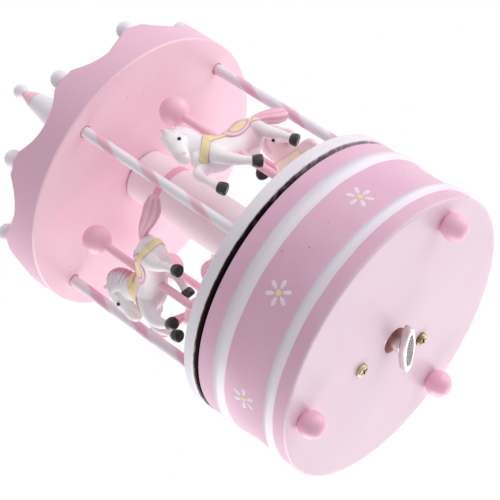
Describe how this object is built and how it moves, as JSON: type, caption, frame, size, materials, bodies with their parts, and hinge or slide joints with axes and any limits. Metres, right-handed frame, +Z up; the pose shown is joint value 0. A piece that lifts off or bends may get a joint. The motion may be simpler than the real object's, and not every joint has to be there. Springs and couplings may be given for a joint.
{
  "type": "wind up music box",
  "caption": "Wooden carousel music box: a turned drum holds a spring comb movement that turns a platform of horses under a scalloped canopy when its key is wound.",
  "frame": {"origin": "on the turning axis, at the level of the surface that the ball feet stand on", "axes": "+Z up along the turning axis; the rest pose has the first horse at 17.9 degrees from +X, running clockwise as seen from above"},
  "size_m": [0.102, 0.102, 0.1832],
  "materials": {
    "mauve_paint": "satin mauve-pink paint",
    "pink_paint": "satin rose-pink paint",
    "white_paint": "satin white paint",
    "striped_paint": "white paint with a pink spiral stripe",
    "horse_white": "hand-painted cast resin",
    "horse_pink": "hand-painted cast resin",
    "bare_wood": "bare",
    "black_board": "matt black paint",
    "brass_screw": "bright",
    "nickel": "nickel plated",
    "zinc_casting": "die cast",
    "steel": "plain",
    "gear_brass": "plain",
    "gear_plastic": "plain"
  },
  "bodies": {
    "base": {"base_drum": "mauve_paint", "ball_feet": "pink_paint", "foot_dowels": "bare_wood", "base_cover": "black_board", "mounting_screws": "brass_screw", "bedplate": "zinc_casting", "cylinder_post_inner": "steel", "cylinder_post_outer": "steel", "governor_post_inner": "steel", "governor_post_outer": "steel", "governor_bridge": "steel", "comb_block": "zinc_casting", "tuned_comb": "steel", "comb_screws": "steel", "ratchet_click": "steel"},
    "turntable": {"spring_barrel": "gear_brass", "crown_wheel": "gear_brass", "mainspring": "steel", "spindle": "steel", "drive_flange": "steel", "flange_screws": "steel", "platform": "white_paint", "center_column": "white_paint", "column_dowels": "bare_wood", "pole_1": "striped_paint", "pole_2": "striped_paint", "pole_3": "striped_paint", "pole_4": "striped_paint", "horse_rod_1": "pink_paint", "horse_rod_2": "pink_paint", "horse_rod_3": "pink_paint", "horse_rod_4": "pink_paint", "horse_knob_1": "pink_paint", "horse_knob_2": "pink_paint", "horse_knob_3": "pink_paint", "horse_knob_4": "pink_paint", "horse_1": "horse_white", "horse_2": "horse_white", "horse_3": "horse_pink", "horse_4": "horse_pink", "canopy": "mauve_paint", "rim_balls": "white_paint", "spire_base": "white_paint", "spire_cone": "pink_paint", "spire_ball": "white_paint", "spire_dowel": "bare_wood"},
    "winder": {"winding_key": "nickel", "winding_arbor": "steel", "ratchet_wheel": "steel"},
    "cylinder": {"pinned_cylinder": "gear_brass", "cylinder_shaft": "steel", "cylinder_pinion": "gear_brass"},
    "governor_wheel": {"governor_shaft": "steel", "governor_pinion": "gear_brass", "worm_wheel": "gear_plastic"},
    "air_brake": {"governor_worm": "steel", "governor_fan": "gear_plastic"}
  },
  "joints": [
    {"name": "turntable_spin", "type": "hinge", "parent": "base", "child": "turntable", "pos_m": [0, 0, 0.0502], "axis": [0, 0, 1], "continuous": true},
    {"name": "key_wind", "type": "hinge", "parent": "base", "child": "winder", "pos_m": [0, 0, 0.005], "axis": [0, 0, 1], "continuous": true},
    {"name": "cylinder_spin", "type": "hinge", "parent": "base", "child": "cylinder", "pos_m": [0, 0, 0.0231], "axis": [0.6845, -0.729, 0], "continuous": true},
    {"name": "governor_wheel_spin", "type": "hinge", "parent": "base", "child": "governor_wheel", "pos_m": [0, 0, 0.0231], "axis": [0.729, 0.6845, 0], "continuous": true},
    {"name": "air_brake_spin", "type": "hinge", "parent": "base", "child": "air_brake", "pos_m": [0.0076, 0.01674, 0.0231], "axis": [0, 0, 1], "continuous": true}
  ],
  "couplings": [
    {"joint": "cylinder_spin", "follows": "turntable_spin", "ratio": -4},
    {"joint": "governor_wheel_spin", "follows": "turntable_spin", "ratio": -4},
    {"joint": "air_brake_spin", "follows": "turntable_spin", "ratio": 80}
  ]
}
